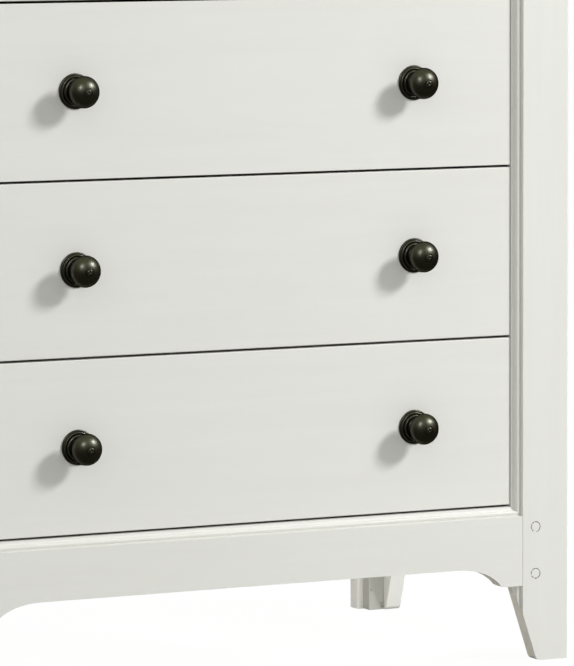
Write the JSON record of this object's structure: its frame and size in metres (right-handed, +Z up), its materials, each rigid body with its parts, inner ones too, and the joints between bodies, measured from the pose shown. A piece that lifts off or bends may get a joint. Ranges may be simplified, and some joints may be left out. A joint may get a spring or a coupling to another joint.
{
  "type": "tall chest of drawers",
  "caption": "Tall painted chest with full-width flush drawers, ball knobs, stepped moulding, bracket rails and tapered legs.",
  "frame": {"origin": "on the floor, under the middle of the whole object's box", "axes": "+X to the viewer's right, +Y to the back, +Z up; the drawers open towards -Y"},
  "size_m": [0.774, 0.456, 1.14],
  "materials": {
    "painted_wood": "warm white satin paint over wood, very faint grain, softly rounded edges",
    "bare_wood": "plain sanded softwood with fine straight grain, matt",
    "plywood": "thin plywood with a rotary-cut figure, matt",
    "dark_bronze": "dark oil-rubbed bronze, glossy with soft highlights"
  },
  "bodies": {
    "carcass": {"top_board": "painted_wood", "top_front_rail": "painted_wood", "bottom_front_rail": "painted_wood", "front_left_post": "painted_wood", "front_right_post": "painted_wood", "back_left_post": "painted_wood", "back_right_post": "painted_wood", "left_side_panel": "painted_wood", "right_side_panel": "painted_wood", "left_side_apron": "painted_wood", "right_side_apron": "painted_wood", "back_panel": "plywood", "dust_panel": "plywood", "back_bottom_rail": "bare_wood", "back_top_rail": "bare_wood", "runner_1_left": "bare_wood", "runner_1_right": "bare_wood", "runner_2_left": "bare_wood", "runner_2_right": "bare_wood", "runner_3_left": "bare_wood", "runner_3_right": "bare_wood", "runner_4_left": "bare_wood", "runner_4_right": "bare_wood", "runner_5_left": "bare_wood", "runner_5_right": "bare_wood"},
    "drawer_1": {"drawer_1_front": "painted_wood", "drawer_1_left_side": "bare_wood", "drawer_1_right_side": "bare_wood", "drawer_1_back": "bare_wood", "drawer_1_bottom": "plywood", "drawer_1_left_knob": "dark_bronze", "drawer_1_right_knob": "dark_bronze"},
    "drawer_2": {"drawer_2_front": "painted_wood", "drawer_2_left_side": "bare_wood", "drawer_2_right_side": "bare_wood", "drawer_2_back": "bare_wood", "drawer_2_bottom": "plywood", "drawer_2_left_knob": "dark_bronze", "drawer_2_right_knob": "dark_bronze"},
    "drawer_3": {"drawer_3_front": "painted_wood", "drawer_3_left_side": "bare_wood", "drawer_3_right_side": "bare_wood", "drawer_3_back": "bare_wood", "drawer_3_bottom": "plywood", "drawer_3_left_knob": "dark_bronze", "drawer_3_right_knob": "dark_bronze"},
    "drawer_4": {"drawer_4_front": "painted_wood", "drawer_4_left_side": "bare_wood", "drawer_4_right_side": "bare_wood", "drawer_4_back": "bare_wood", "drawer_4_bottom": "plywood", "drawer_4_left_knob": "dark_bronze", "drawer_4_right_knob": "dark_bronze"},
    "drawer_5": {"drawer_5_front": "painted_wood", "drawer_5_left_side": "bare_wood", "drawer_5_right_side": "bare_wood", "drawer_5_back": "bare_wood", "drawer_5_bottom": "plywood", "drawer_5_left_knob": "dark_bronze", "drawer_5_right_knob": "dark_bronze"}
  },
  "joints": [
    {"name": "drawer_1_slide", "type": "slide", "parent": "carcass", "child": "drawer_1", "axis": [0, -1, 0], "range_m": [0, 0.28]},
    {"name": "drawer_2_slide", "type": "slide", "parent": "carcass", "child": "drawer_2", "axis": [0, -1, 0], "range_m": [0, 0.28]},
    {"name": "drawer_3_slide", "type": "slide", "parent": "carcass", "child": "drawer_3", "axis": [0, -1, 0], "range_m": [0, 0.28]},
    {"name": "drawer_4_slide", "type": "slide", "parent": "carcass", "child": "drawer_4", "axis": [0, -1, 0], "range_m": [0, 0.28]},
    {"name": "drawer_5_slide", "type": "slide", "parent": "carcass", "child": "drawer_5", "axis": [0, -1, 0], "range_m": [0, 0.28]}
  ]
}
